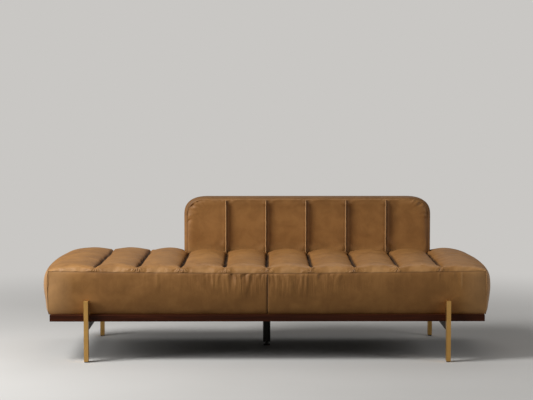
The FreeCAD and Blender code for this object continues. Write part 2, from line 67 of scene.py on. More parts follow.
camera_data = bpy.data.cameras.new("eye")
camera_data.sensor_width = SENSOR
camera_data.lens = FOCAL_PIXELS / PICTURE_WIDTH * SENSOR
camera = bpy.data.objects.new("eye", camera_data)
camera.location = EYE
camera.rotation_euler = (math.radians(90 - TIP_DEGREES), 0, -math.radians(TURN_DEGREES))
bpy.context.scene.collection.objects.link(camera)
bpy.context.scene.camera = camera
print("lens", round(camera_data.lens, 1), "mm")

# %% [markdown]
# ## Writing a finish
# A finish is a node tree. Wiring it node by node is long to read, so three small classes do it: a `Wire`
# is one socket that can be added, multiplied and so on like a number, `Nodes` puts nodes into a tree, and
# a `Finish` is a material with such a tree. Sums on plain numbers stay in Python, and only what changes
# over a surface becomes a node.


# %% Wires
class Wire:
    """One output of a node. Arithmetic on it adds Math nodes."""

    def __init__(self, owner, socket):
        self.owner = owner
        self.socket = socket

    def __add__(self, other):
        return self.owner.math("ADD", self, other)

    def __sub__(self, other):
        return self.owner.math("SUBTRACT", self, other)

    def __mul__(self, other):
        return self.owner.math("MULTIPLY", self, other)

    def __radd__(self, other):
        return self.owner.math("ADD", other, self)

    def __rsub__(self, other):
        return self.owner.math("SUBTRACT", other, self)

    def __rmul__(self, other):
        return self.owner.math("MULTIPLY", other, self)

    def clamp(self):
        return self.owner.math("MINIMUM", self.owner.math("MAXIMUM", self, 0.0), 1.0)


# %% Nodes
class Nodes:
    """A node tree and the few moves that build it."""

    def __init__(self, tree):
        self.tree = tree

    def node(self, kind, settings=None, sockets=None, out=0):
        """Add a node, set it up, then fill or link its sockets; gives one output."""
        made = self.tree.nodes.new(kind)
        for name, value in (settings or {}).items():
            if name == "stops":
                self.fill_ramp(made.color_ramp, value)
            else:
                setattr(made, name, value)
        for name, value in (sockets or {}).items():
            self.feed(made.inputs[name], value)
        return Wire(self, made.outputs[out])

    def fill_ramp(self, ramp, stops):
        while len(ramp.elements) < len(stops):
            ramp.elements.new(1.0)
        for element, (place, colour) in zip(ramp.elements, stops):
            element.position = place
            element.color = (*colour, 1.0)

    def feed(self, socket, value):
        if isinstance(value, Wire):
            self.tree.links.new(value.socket, socket)
        else:
            socket.default_value = value

    def math(self, operation, first, second):
        return self.node("ShaderNodeMath", {"operation": operation}, {0: first, 1: second})

    def place(self):
        return self.node("ShaderNodeTexCoord", out="Object")

    def stretched(self, place, scale):
        return self.node("ShaderNodeVectorMath", {"operation": "MULTIPLY"}, {0: place, 1: scale})

    def noise(self, place, scale, detail=3.0, roughness=0.5, distortion=0.0):
        values = {"Vector": place, "Scale": scale, "Detail": detail, "Roughness": roughness}
        return self.node("ShaderNodeTexNoise", None, {**values, "Distortion": distortion})

    def cells(self, place, scale):
        return self.node("ShaderNodeTexVoronoi", None, {"Vector": place, "Scale": scale})

    def mark(self, name):
        """A value stored on the mesh's own points."""
        return self.node("ShaderNodeAttribute", {"attribute_name": name}, out="Fac")

    def mix(self, amount, first, second):
        first, second = ((*c, 1.0) if isinstance(c, tuple) else c for c in (first, second))
        return self.node("ShaderNodeMix", {"data_type": "RGBA"}, {0: amount, 6: first, 7: second}, out=2)


# %% Finishes
class Finish(Nodes):
    """A material, and the links from what varies over it to its shader."""

    def __init__(self, name, **constants):
        self.material = bpy.data.materials.new(name)
        self.material.use_nodes = True
        super().__init__(self.material.node_tree)
        self.shader = self.tree.nodes["Principled BSDF"]
        for socket, value in constants.items():
            self.shader.inputs[socket.replace("_", " ")].default_value = value

    def wear(self, colour, roughness=None, **bump):
        """Link what varies to the shader; bump takes height, distance and strength."""
        self.feed(self.shader.inputs["Base Color"], colour)
        if roughness is not None:
            self.feed(self.shader.inputs["Roughness"], roughness)
        if bump:
            values = {"Height": bump["height"], "Distance": bump["distance"], "Strength": bump["strength"]}
            self.feed(self.shader.inputs["Normal"], self.node("ShaderNodeBump", None, values))
        print("finish:", self.material.name, len(self.tree.nodes), "nodes")
        return self.material


def srgb(red, green, blue):
    """A colour as the eye reads it off a picture, 0 to 255, turned into light."""
    values = (v / 255 for v in (red, green, blue))
    return tuple(v / 12.92 if v <= 0.04045 else ((v + 0.055) / 1.055) ** 2.4 for v in values)


# %% [markdown]
# ## Floor and light
# The floor is a wide plain sheet. Near the daybed it takes the light and the shadow; far off it fades
# into the same pale tone as the sky behind it, so no horizon shows from any side. The eye sees it pale,
# but it throws little light back up. A large soft lamp hangs to the upper left, as in the photograph, a
# weaker one hangs high behind, and two small ones stand at the left and right. Ready-made lighting
# pictures would bring in a file, so plain lamps and an even sky do it, at a plain level, so that a colour
# shows about as written.

# %% Floor
FLOOR_HALF, FADE_NEAR, FADE_FAR = 60.0, 1.3, 3.8
PALE = srgb(201, 199, 196)
SHEET_DARK, SHEET_PALE = srgb(196, 194, 190), srgb(205, 203, 200)
SHEET_BOUNCE = srgb(28, 27, 26)
RAYS = ("Camera", "Glossy", "Transmission")
corners = [(FLOOR_HALF * i, FLOOR_HALF * j, 0) for i, j in ((-1, -1), (1, -1), (1, 1), (-1, 1))]
floor_mesh = bpy.data.meshes.new("studio_floor")
floor_mesh.from_pydata(corners, [], [(0, 1, 2, 3)])
floor = bpy.data.objects.new("studio_floor", floor_mesh)
bpy.context.scene.collection.objects.link(floor)


def seen(nodes, shine=1.0):
    """1 for rays from the eye, shine for those off a glossy part, 0 for the light that falls on things."""
    straight, glossy, through = (nodes.node("ShaderNodeLightPath", out=f"Is {ray} Ray") for ray in RAYS)
    return (straight + glossy * shine + through).clamp()


paper = Finish("studio_paper", Roughness=0.9)
tone = paper.noise(paper.place(), 1.3, 2.0)
sheet_tone = paper.mix(tone, SHEET_DARK, SHEET_PALE)
paper.wear(paper.mix(seen(paper), SHEET_BOUNCE, sheet_tone))
far_off = paper.node("ShaderNodeVectorMath", {"operation": "LENGTH"}, {0: paper.place()}, out="Value")
soft = {"interpolation_type": "SMOOTHSTEP"}
fade = paper.node("ShaderNodeMapRange", soft, {0: far_off, 1: FADE_NEAR, 2: FADE_FAR})
glow = paper.node("ShaderNodeEmission", None, {"Color": (*PALE, 1.0)})
lit = Wire(paper, paper.shader.outputs[0])
both = paper.node("ShaderNodeMixShader", None, {0: fade * seen(paper), 1: lit, 2: glow})
paper.feed(paper.tree.nodes["Material Output"].inputs["Surface"], both)
floor_mesh.materials.append(paper.material)

# %% Lamps
# Each lamp has its place, what it points at, its side in metres and its watts.
LAMPS = {
    "overhead_left": ((-3.2, -1.7, 4.0), (-0.2, 0.0, 0.4), 2.0, 226.0),
    "overhead_rear": ((0.6, 2.6, 4.4), (0.0, 0.1, 0.3), 3.0, 30.0),
    "side_left": ((-3.3, -1.5, 1.3), (-0.9, -0.3, 0.35), 1.1, 41.0),
    "side_right": ((3.6, -1.8, 1.6), (0.9, -0.3, 0.35), 1.1, 27.0),
}


def hang_lamp(name, place, aim, side, watts):
    data = bpy.data.lights.new(name, "AREA")
    data.shape = "SQUARE"
    data.size = side
    data.energy = watts
    lamp = bpy.data.objects.new(name, data)
    lamp.location = place
    way = np.subtract(aim, place)
    lamp.rotation_euler = (math.acos(-way[2] / np.linalg.norm(way)), 0, math.atan2(-way[0], way[1]))
    bpy.context.scene.collection.objects.link(lamp)


for name, settings in LAMPS.items():
    hang_lamp(name, *settings)

SKY_LIGHT, SKY_TINT, SKY_SHINE = 0.08, (1.0, 0.98, 0.95), 0.3
sky = bpy.data.worlds.new("sky")
sky.use_nodes = True
dome = Nodes(sky.node_tree)
shown = dome.mix(seen(dome, SKY_SHINE), tuple(SKY_LIGHT * c for c in SKY_TINT), PALE)
dome.feed(dome.tree.nodes["Background"].inputs["Color"], shown)
bpy.context.scene.world = sky
bpy.context.scene.view_settings.view_transform = "Standard"
print("lamps:", ", ".join(LAMPS))

# %% [markdown]
# ## Leather
# The hide is tanned a warm brown and only lightly finished, so its colour wanders and is paler where it is
# pulled over a crown. Shade is painted into the colour as well: darker in the seams, in the grooves and
# along the top of the back. So are highlights: paler on the back's lips, the seat's front roll, raised
# folds and the ends. Its grain is a net of tiny cells. A picture of leather would repeat; two layers of
# cells and five of noise never do, and they need no unwrapping. The covers carry three marks on their
# points: one says where shade is painted, one where the hide is paler on a crown and where highlights are
# painted, and one where it is drawn into folds.

# %% Leather finish
hide = Finish("tan_leather", Specular_IOR_Level=0.32)
spot = hide.place()
hollow = hide.mark("hollow")
rise = hide.mark("rise")
pull = hide.mark("pull")
patches = hide.noise(spot, 3.1, 4.0, 0.55)
clouds = hide.noise(spot, 14.0, 5.0, 0.6, 0.4)
flecks = hide.noise(spot, 260.0, 2.0)
net = hide.cells(spot, 620.0)
fine_net = hide.cells(spot, 1500.0)
folds = hide.noise(hide.stretched(spot, (1.0, 0.45, 1.0)), 70.0, 4.0, 0.65, 0.8)
drawn = hide.noise(hide.stretched(spot, (1.0, 0.05, 0.1)), 85.0, 3.0, 0.5, 0.35)

TAN_DEEP, TAN, TAN_PALE = srgb(114, 77, 38), srgb(150, 104, 55), srgb(178, 129, 73)
# The last two are a painted highlight tan and a painted shade tan.
TAN_HIGHLIGHT, TAN_SHADE = srgb(204, 160, 112), srgb(40, 24, 12)
# Paler in random patches, on stretched crowns and where highlights are painted.
tone_and_highlight = (patches * 0.9 + clouds * 0.9 + rise * 0.45 - 0.8).clamp()
colour = hide.mix(tone_and_highlight, TAN, TAN_PALE)
colour = hide.mix((0.6 - clouds).clamp() * 1.2, colour, TAN_DEEP)
colour = hide.mix(flecks * 0.18, colour, TAN_DEEP)
# Painted highlight: where the mark passes 1, on the back's lips, the seat's ends, front roll and raised
# folds, the colour goes to a pale highlight tan.
colour = hide.mix((rise - 1).clamp() * 0.8, colour, TAN_HIGHLIGHT)
# Painted shade: darker in the seams, the grooves and along the top of the back.
colour = hide.mix(hollow * 0.9, colour, TAN_SHADE)
grain = net * 0.5 + fine_net * 0.25 + folds * 1.5 + drawn * pull * 15.0
gloss = 0.5 - rise * 0.06 + clouds * 0.12 + hollow * 0.2 - net * 0.06
leather = hide.wear(colour, gloss, height=grain, distance=0.0006, strength=0.35)

# %% [markdown]
# ## Leather covers
# A cover is sewn from panels that meet at seams. Each panel here is a grid of points over its own smooth,
# padded form, and panels that share a seam share its points, so the whole cover is one closed skin. The
# folds are put on afterwards. Sculpting by hand would give one fixed result; a grid with a few lengths in
# it can be corrected.


# %% Panels into one skin
STEPS_PER_METRE = 1e5


class Cover:
    """Panels of points, joined where their edges meet."""

    def __init__(self):
        self.points = []
        self.faces = []
        self.marks = {}
        self.known = {}
        self.seams = set()

    def corner(self, point, **marks):
        """A point's number; a point within a step of a known one is the same point."""
        key = tuple(int(round(c * STEPS_PER_METRE)) for c in point)
        if key not in self.known:
            self.known[key] = len(self.points)
            self.points.append(tuple(float(c) for c in point))
            for name, value in marks.items():
                self.marks.setdefault(name, {})[self.known[key]] = float(value)
        return self.known[key]

    def panel(self, grid, outward, seams="", **marks):
        """Add a grid (rows, columns, 3).

        Outward says which side faces out, 1 or -1, and seams names the sewn sides.
        """
        rows, columns = grid.shape[:2]
        spread = {name: np.broadcast_to(value, (rows, columns)) for name, value in marks.items()}
        index = np.array(
            [
                [self.corner(grid[r, c], **{n: v[r, c] for n, v in spread.items()}) for c in range(columns)]
                for r in range(rows)
            ]
        )
        for r in range(rows - 1):
            for c in range(columns - 1):
                ring = (index[r, c], index[r, c + 1], index[r + 1, c + 1], index[r + 1, c])
                self.face(ring[::outward])
        sides = {"low": index[0], "high": index[-1], "left": index[:, 0], "right": index[:, -1]}
        for side in seams.split():
            line = sides[side]
            self.seams.update(frozenset(pair) for pair in zip(line[:-1], line[1:]))
        return sides

    def face(self, ring):
        clean = [i for n, i in enumerate(ring) if i != ring[n - 1]]
        if len(set(clean)) > 2:
            self.faces.append(clean)

    def mesh(self, name):
        made = bpy.data.meshes.new(name)
        made.from_pydata(self.points, [], self.faces)
        for mark, values in self.marks.items():
            store = np.zeros(len(self.points), np.float32)
            store[list(values)] = list(values.values())
            made.attributes.new(mark, "FLOAT", "POINT").data.foreach_set("value", store)
        sharp = [1.0 if frozenset(edge.vertices) in self.seams else 0.0 for edge in made.edges]
        made.attributes.new("crease_edge", "FLOAT", "EDGE").data.foreach_set("value", sharp)
        return made


def smooth(value, low=0.0, high=1.0):
    """A soft step from 0 to 1 between two places."""
    t = np.clip((value - low) / (high - low), 0, 1)
    return t * t * (3 - 2 * t)


# %% [markdown]
# ## The seat's sizes
# The plain solids in the frame say how wide a channel is, where the back starts and how high the plinth
# ends, so the cover takes its lengths from them. What a solid doesn't tell, such as how deep a sewn
# groove is, was judged from the photograph.

# %% Seat sizes
inner_low, inner_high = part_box("seat_channel_5")
back_low, back_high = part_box("back_band")
PITCH = inner_high.x - inner_low.x
CHANNELS = 10
END = -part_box("seat_channel_1")[0].x
SEAMS_X = PITCH * (np.arange(CHANNELS + 1) - CHANNELS / 2)
SEAMS_X[[0, -1]] = -END, END
PLINTH_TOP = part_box("rail_front")[1].z
SEAM_FRONT = 0.383
SEAM_LEVEL = 0.4145
CROWN_FRONT, CROWN_REAR = 0.4505, 0.4635
BACK_FACE = inner_high.y
SKIN_GAP = 0.0006
print("pitch", round(PITCH, 4), "ends at", round(END, 4), "back face at", round(BACK_FACE, 4))

# %% Columns and rows of the seat
COLUMNS_EACH, COLUMN_CROWD = 22, 0.75
even = np.linspace(-1, 1, COLUMNS_EACH + 1)
across = COLUMN_CROWD * np.sin(even * math.pi / 2) + (1 - COLUMN_CROWD) * even
widths = np.diff(SEAMS_X)
seat_x = np.concatenate([[-END], *[SEAMS_X[n] + widths[n] * (across[1:] + 1) / 2 for n in range(CHANNELS)]])
ROLL_DEPTH, ROLL_HEIGHT, ROLL_START = 0.09, 0.04, math.radians(-8)
ROLL_ROWS, ROLL_CROWD = 17, 1.4
roll_turn = ROLL_START + (math.pi / 2 - ROLL_START) * np.linspace(0, 1, ROLL_ROWS) ** ROLL_CROWD
roll_y = ROLL_DEPTH * (math.cos(ROLL_START) - np.cos(roll_turn))
roll_lift = (np.sin(roll_turn) - math.sin(ROLL_START)) / (1 - math.sin(ROLL_START))
BACK_STEPS = [0.05, 0.036, 0.025, 0.017, 0.0115, 0.0075, 0.0045, 0.0022, 0.0006, -0.002, -0.006]
FLAT_ROWS, AFTER_ROLL, BEFORE_STEPS = 38, 0.012, 0.013
near_back = BACK_FACE - np.array(BACK_STEPS)
flat_y = np.linspace(-SEAM_FRONT + ROLL_DEPTH + AFTER_ROLL, near_back[0] - BEFORE_STEPS, FLAT_ROWS)
seat_y = np.concatenate([flat_y, near_back, SEAM_FRONT - roll_y[::-1]])
seat_lift = np.concatenate([np.ones(len(flat_y) + len(near_back)), roll_lift[::-1]])
order = np.argsort(seat_y, kind="stable")
seat_y = np.concatenate([-SEAM_FRONT + roll_y, seat_y[order]])
seat_lift = np.concatenate([roll_lift, seat_lift[order]])
print("seat grid", len(seat_x), "by", len(seat_y))

# %% [markdown]
# ## The top of the seat
# Ten pillows lie side by side. Their leather rolls over the front edge down to a seam that sags a little
# in the middle, and the outer two slope off to the end seams, which bow out a little in plan. Behind the
# back's face the skin drops into a recess, so that the back stands in the seat instead of cutting through
# it. The grooves themselves come later, as folds.

# %% Seat top panel
END_BOW = 0.015
OUTER_RUN = 0.16
OUTER_CROWN = END - OUTER_RUN
SAG, SAG_POWER, END_RISE = 0.0105, 1.4, 0.009
RECESS_UNDER, RECESS_INSET, RECESS_WALL, RECESS_RUN = 0.004, 0.012, 0.009, 0.0115
RECESS_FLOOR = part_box("back_core_foam")[0].z - RECESS_UNDER
BACK_EASE = 0.006
RECESS_LEFT = back_low.x + BACK_EASE + RECESS_INSET
RECESS_RIGHT = back_high.x + BACK_EASE - RECESS_INSET


def end_bow(y):
    """How far an end seam stands out, most in the middle."""
    return END_BOW * (1 - np.abs(y / SEAM_FRONT) ** 4).clip(0)


def seam_level(x, y):
    """Height of the seam round the top: a shallow sag at the front, a slight lift along the ends."""
    sag = SAG * np.abs(x / END) ** SAG_POWER
    return SEAM_LEVEL + sag + END_RISE * (1 - (y / SEAM_FRONT) ** 2).clip(0)


def recess(x, y):
    """1 where the back stands, 0 outside, with steep walls."""
    left = smooth(x, RECESS_LEFT - RECESS_WALL, RECESS_LEFT)
    right = smooth(x, RECESS_RIGHT + RECESS_WALL, RECESS_RIGHT)
    return left * right * smooth(y, BACK_FACE - RECESS_RUN, BACK_FACE)


PLAN_BOW, PLAN_RUN = 0.0065, 0.3
SLOPE_IN, SLOPE_OUT = 2.4, 0.72
CROWN_FROM, CROWN_TO = -0.33, 0.2
flat_x, flat_yy = np.meshgrid(seat_x, seat_y)
near_end = ((np.abs(flat_x) - END + PLAN_RUN) / PLAN_RUN).clip(0)
flat_yy = flat_yy * (1 - PLAN_BOW / SEAM_FRONT * near_end**2)
lift = np.broadcast_to(seat_lift[:, None], flat_x.shape)
outer = ((np.abs(flat_x) - OUTER_CROWN) / (END - OUTER_CROWN)).clip(0, 1)
slope = (1 - outer**SLOPE_IN) ** SLOPE_OUT
crown = CROWN_FRONT + (CROWN_REAR - CROWN_FRONT) * smooth(flat_yy, CROWN_FROM, CROWN_TO)
edge = seam_level(flat_x, flat_yy)
top_z = edge + lift * slope * (crown - edge)
top_z += (RECESS_FLOOR - top_z) * recess(flat_x, flat_yy)
bowed_x = flat_x + np.sign(flat_x) * end_bow(flat_yy) * outer**2
top = np.stack([bowed_x, flat_yy, top_z], axis=-1)
row_steps = np.hypot(np.diff(seat_y), np.diff(seat_lift * ROLL_HEIGHT))
from_front = np.concatenate([[0], np.cumsum(row_steps)])
cover = Cover()
cover.panel(top, 1, "low high left right", top=1.0, inward=from_front[:, None])
print("seat top:", len(cover.points), "points")

# %% [markdown]
# ## The sides of the seat
# The front, rear and end panels are padded too: each swells a little right under the top seam, is fullest
# above the middle and rolls under at the plinth, where its leather is tacked to the underside of the box.
# The legs stand against the front and rear ones, so those stay behind the legs' inner faces where the
# legs reach up.

# %% Side panels
SIDE_BOTTOM = PLINTH_TOP + SKIN_GAP
UNDER_FROM = 0.86
UPPER_ROWS, UPPER_CROWD, UNDER_ROWS = 21, 1.35, 8
upper_rows = UNDER_FROM * np.linspace(0, 1, UPPER_ROWS) ** UPPER_CROWD
under_rows = UNDER_FROM + (1 - UNDER_FROM) * np.sin(np.linspace(0, math.pi / 2, UNDER_ROWS))
down = np.concatenate([upper_rows, under_rows[1:]])
SIDE_ROWS = len(down)
SHOULDER, SHOULDER_RUN = 0.0022, 0.04
BELLY, TUCK = 0.0088, 0.0062
LONG_ROLL, END_ROLL = 0.0045, 0.018
FRAME_ROOM = 0.001
FRAME_FACE = -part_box("frame_beam_front")[0].y + FRAME_ROOM
CORNER_RUN = 0.07


def swell(w):
    """How far a long side stands out from its seams, from the top seam (0) to the plinth (1)."""
    return SHOULDER * (1 - np.exp(-w / SHOULDER_RUN)) + BELLY * 4 * w * (1 - w) - TUCK * w**2


def under(w):
    """0 above the rolled lower edge, then round to 1 at the plinth."""
    turn = ((w - UNDER_FROM) / (1 - UNDER_FROM)).clip(0, 1)
    return 1 - np.sqrt(1 - turn**2)


def tuck_in(w, seam_y):
    """How far a long side draws in below its seam, as far as the frame inside leaves room for it."""
    room = ((np.abs(seam_y) - FRAME_FACE) / (TUCK - SHOULDER + LONG_ROLL)).clip(0, 1)
    return (np.minimum(swell(w), 0) - LONG_ROLL * under(w)) * room


def long_side(facing):
    """The front (-1) or rear (1) panel, hung from the top panel's own edge."""
    edge_row = top[0] if facing < 0 else top[-1]
    w = np.broadcast_to(down[:, None], (SIDE_ROWS, len(seat_x)))
    ends = (END - np.abs(seat_x)) / CORNER_RUN
    round_off = (1 - (1 - ends.clip(0, 1)) ** 2)[None, :]
    z = edge_row[None, :, 2] + (SIDE_BOTTOM - edge_row[None, :, 2]) * w
    out = np.maximum(swell(w), 0) * round_off + tuck_in(w, edge_row[None, :, 1])
    y = edge_row[None, :, 1] + facing * out
    x = np.broadcast_to(edge_row[None, :, 0], w.shape)
    return np.stack([x, y, z], axis=-1), w


front, front_down = long_side(-1)
rear, rear_down = long_side(1)
SIDE_HEIGHT = SEAM_LEVEL - SIDE_BOTTOM
front_sides = cover.panel(front, -1, "low left right high", front=1.0, drop=front_down * SIDE_HEIGHT)
rear_sides = cover.panel(rear, 1, "low left right high", rear=1.0, drop=rear_down * SIDE_HEIGHT)

# %% End panels
END_SWELL, END_TUCK, END_CORNER = 0.022, 0.014, 0.07
END_SHOULDER, END_TUCK_FROM = 0.10, 0.35
ROUND_IN, ROUND_OUT, CORNER_POWER = 2.4, 0.85, 8


def end_side(facing):
    """The left (-1) or right (1) end panel, hung from the top panel's own edge."""
    edge_row = top[:, 0] if facing < 0 else top[:, -1]
    w = np.broadcast_to(down[:, None], (SIDE_ROWS, len(seat_y)))
    from_corner = (SEAM_FRONT - np.abs(edge_row[:, 1])) / END_CORNER
    round_off = (1 - (1 - from_corner.clip(0, 1)) ** ROUND_IN)[None, :] ** ROUND_OUT
    bulge = 1 - np.exp(-w / END_SHOULDER)
    bulge = END_SWELL * bulge - END_TUCK * smooth(w, END_TUCK_FROM, 1.0) - END_ROLL * under(w)
    x = edge_row[None, :, 0] + facing * bulge * round_off
    x = facing * np.maximum(facing * x, np.minimum(facing * edge_row[None, :, 0], END + FRAME_ROOM))
    z = edge_row[None, :, 2] + (SIDE_BOTTOM - edge_row[None, :, 2]) * w
    facing_y = np.sign(edge_row[None, :, 1])
    by_corner = (np.abs(edge_row[None, :, 1]) / SEAM_FRONT) ** CORNER_POWER
    y = edge_row[None, :, 1] + facing_y * tuck_in(w, edge_row[0, 1]) * by_corner
    return np.stack([x, y, z], axis=-1), w


for facing in (-1, 1):
    side_grid, side_down = end_side(facing)
    column = 0 if facing < 0 else -1
    side_grid[:, 0] = front[:, column]
    side_grid[:, -1] = rear[:, column]
    end_sides = cover.panel(side_grid, facing, "low left right high", end=1.0, drop=side_down * SIDE_HEIGHT)
    ring = list(end_sides["high"])
    second = 1 if facing < 0 else -2
    ring += [rear_sides["high"][second], front_sides["high"][second]]
    cover.face(ring[::-facing])
front_low, rear_low = front_sides["high"], rear_sides["high"]
for c in range(1, len(seat_x) - 2):
    cover.face((rear_low[c], rear_low[c + 1], front_low[c + 1], front_low[c]))
print("seat cover:", len(cover.points), "points,", len(cover.faces), "faces")

# %% [markdown]
# ## Stuffing the covers
# A real cover is sewn flat-ish and stuffed until it is tight, so it swells most where it is furthest from
# a seam. Blender's cloth does the same: the skin is blown up a little by air pressure, without gravity,
# while its seams, grooves and hidden parts are held. Nothing may move further than a cap. The result is
# kept as plain points.


# %% Read and move points
def read(mesh, name):
    values = np.zeros(len(mesh.vertices), np.float32)
    if name in mesh.attributes:
        mesh.attributes[name].data.foreach_get("value", values)
    return values.astype(float)


def spots(mesh):
    values = np.zeros(len(mesh.vertices) * 3)
    mesh.vertices.foreach_get("co", values)
    return values.reshape(-1, 3)


# %% Inflate
LAST_FRAME, PRESSURE, SLACK, STIFFNESS = 20, 4.0, 0.012, 2.0


def inflate(rough, held, cap):
    """Swell an object as cloth under pressure; held points stay, others move by the cap at most."""
    before = spots(rough.data)
    group = rough.vertex_groups.new(name="held")
    group.add(np.flatnonzero(held).tolist(), 1.0, "REPLACE")
    stuffing = rough.modifiers.new("stuffing", "CLOTH")
    cloth = stuffing.settings
    cloth.vertex_group_mass = "held"
    cloth.use_pressure = True
    cloth.uniform_pressure_force = PRESSURE
    cloth.shrink_min = -SLACK
    cloth.bending_stiffness = STIFFNESS
    cloth.effector_weights.gravity = 0.0
    stuffing.collision_settings.use_collision = False
    stuffing.point_cache.frame_end = LAST_FRAME
    for number in range(1, LAST_FRAME + 1):
        bpy.context.scene.frame_set(number)
    blown = rough.evaluated_get(bpy.context.evaluated_depsgraph_get())
    moved = spots(blown.data) - before
    rough.modifiers.remove(stuffing)
    bpy.context.scene.frame_set(1)
    length = np.linalg.norm(moved, axis=1)
    moved *= (cap * np.tanh(length / cap) / length.clip(1e-9))[:, None]
    rough.data.vertices.foreach_set("co", (before + moved).ravel())
    rough.data.update()
    furthest = float(np.linalg.norm(moved, axis=1).max() * 1000)
    print("stuffed:", rough.name, "moved up to", round(furthest, 1), "mm")


# %% [markdown]
# ## From skin to leather
# Once the panels are one stuffed skin, a single subdivision makes the grid fine enough for folds. The
# seams are kept sharp, because sewn leather turns in at them.


# %% Refine a cover
def rough_cover(skin, name):
    rough = bpy.data.objects.new(f"{name}_rough", skin.mesh(f"{name}_rough"))
    bpy.context.scene.collection.objects.link(rough)
    return rough


def on_seams(skin):
    """1 for every point that a seam runs through."""
    sewn = np.zeros(len(skin.points), bool)
    sewn[[point for pair in skin.seams for point in pair]] = True
    return sewn


def refine(rough, name):
    """One subdivision, with its marks, as a new object."""
    rough.modifiers.new("finer", "SUBSURF").levels = 1
    fine = bpy.data.meshes.new_from_object(rough.evaluated_get(bpy.context.evaluated_depsgraph_get()))
    bpy.data.objects.remove(rough)
    fine.name = name
    piece = bpy.data.objects.new(name, fine)
    bpy.context.scene.collection.objects.link(piece)
    fine.shade_smooth()
    return piece


def normals(mesh):
    values = np.zeros(len(mesh.vertices) * 3, np.float32)
    mesh.vertex_normals.foreach_get("vector", values)
    return values.reshape(-1, 3).astype(float)


def push(mesh, amount):
    """Move every point along its own normal."""
    mesh.vertices.foreach_set("co", (spots(mesh) + normals(mesh) * amount[:, None]).ravel())
    mesh.update()


def store(mesh, name, values):
    slot = mesh.attributes.get(name) or mesh.attributes.new(name, "FLOAT", "POINT")
    slot.data.foreach_set("value", values.astype(np.float32))


# %% Stuff the seat
FRONT_STRAY = np.array([2, -3, -1, 2, -2, 6, 9, 11, 8]) / 1000
REAR_STRAY = np.array([27, 16, 13, 3, 3, 2, 5, 6, -2]) / 1000
STRAY_FROM, STRAY_TO = -0.36, 0.3
SEWN_HALF, SEWN_SHORT = 0.003, 0.045
SEAT_CAP = 0.009


def groove_lines(y):
    """Where the nine grooves run at each depth; the sewing strays a little, as in the photograph."""
    to_rear = smooth(y, STRAY_FROM, STRAY_TO)
    return SEAMS_X[1:-1, None] + FRONT_STRAY[:, None] * (1 - to_rear) + REAR_STRAY[:, None] * to_rear


rough_seat = rough_cover(cover, "seat")
x, y = spots(rough_seat.data).T[:2]
nearest = np.abs(x - groove_lines(y)).min(0)
on_top = read(rough_seat.data, "top") > 0
sewn_down = (nearest < SEWN_HALF) & (np.abs(y) < SEAM_FRONT - SEWN_SHORT)
held = on_seams(cover) | sewn_down | ~on_top | (recess(x, y) > 0.01)
inflate(rough_seat, held, SEAT_CAP)
seat = refine(rough_seat, "seat_cover")
print("seat:", len(seat.data.vertices), "points")

# %% [markdown]
# ## Folds of the seat
# Each groove is a broad dip between two pillows with a narrow, deep sewn line in it. It stops short of
# the front and rear seams, and the spare leather there is gathered into a fan of small pleats. Below the
# seam the same pull drags fine upright folds into the front panel, most of all in the middle.

# %% Grooves
GROOVE_BROAD, GROOVE_POWER = 0.0135, 1.85
GROOVE_SLOT, SLOT_HALF = 0.0185, 0.0042
BROAD_FROM, BROAD_TO = 0.02, 0.11
SLOT_FROM, SLOT_TO = 0.034, 0.054
TAPER_FROM, TAPER_TO, TAPER_REAR = 0.03, 0.13, 0.16
at = spots(seat.data)
x, y, z = at.T
on_top = read(seat.data, "top")
inward = read(seat.data, "inward")
behind = recess(x, y)
lines = groove_lines(y)
lines = np.vstack([np.full(len(x), -2 * END), lines, np.full(len(x), 2 * END)])
number = (x > lines[1:-1]).sum(0)
everyone = np.arange(len(x))
beside = np.minimum(x - lines[number, everyone], lines[number + 1, everyone] - x)
shape = (1 - beside / (PITCH / 2)).clip(0) ** GROOVE_POWER
open_in = np.minimum(inward, inward.max() - inward)
broad_fade = smooth(open_in, BROAD_FROM, BROAD_TO)
slot_fade = smooth(open_in, SLOT_FROM, SLOT_TO)
by_back = (x > RECESS_LEFT) & (x < RECESS_RIGHT)
rear_gap = np.where(by_back, BACK_FACE - y, SEAM_FRONT - y)
front_taper = 0.4 + 0.6 * smooth(open_in, TAPER_FROM, TAPER_TO)
rear_taper = 0.45 + 0.55 * smooth(rear_gap, 0.0, TAPER_REAR)
taper = front_taper * rear_taper
keep_top = on_top * (1 - behind)
slot = np.exp(-beside / (SLOT_HALF * (0.5 + 0.5 * taper)))
groove = GROOVE_BROAD * shape * broad_fade + GROOVE_SLOT * slot * slot_fade
depth = -groove * keep_top
print("grooves up to", round(float(-depth.min() * 1000), 1), "mm deep")


# %% Fans of pleats and gathers
def ripple(points, size, seed, waves=10):
    """Soft unevenness of about one size, mostly from -1 to 1."""
    chance = np.random.default_rng(seed)
    total = np.zeros(len(points))
    for _ in range(waves):
        way = chance.normal(size=3)
        way *= 2 * math.pi / size / np.linalg.norm(way) * chance.uniform(0.6, 1.4)
        total += np.cos(points @ way + chance.uniform(0, 2 * math.pi))
    return total / math.sqrt(waves) / 1.5


